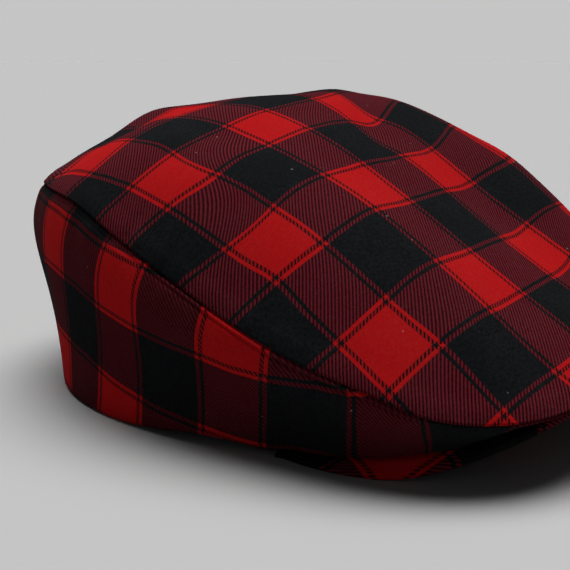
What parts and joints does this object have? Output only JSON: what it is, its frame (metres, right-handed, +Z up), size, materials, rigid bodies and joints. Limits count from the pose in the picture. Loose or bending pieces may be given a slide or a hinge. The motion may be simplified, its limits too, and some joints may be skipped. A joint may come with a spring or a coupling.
{
  "type": "flat cap",
  "caption": "Soft plaid flat cap: one-piece crown sloping down to the front, a side band that is tall at the back, and a short stiff arched peak under the crown's front edge.",
  "frame": {"origin": "middle of the bounding box at floor level, inside the head opening, on the plane of the rim that the cap stands on", "axes": "+Z up out of the head opening, -Y towards the wearer's front (the peak), +X towards the wearer's left"},
  "size_m": [0.1982, 0.262, 0.1146],
  "materials": {
    "crown_cloth": "brushed cotton flannel in a red and black check, matt with a faint nap",
    "band_cloth": "the same brushed cotton check, with its lines upright",
    "peak_cloth": "the same brushed cotton check over a stiff core"
  },
  "bodies": {
    "root": {"crown": "crown_cloth", "side_band": "band_cloth", "peak": "peak_cloth"}
  },
  "joints": []
}
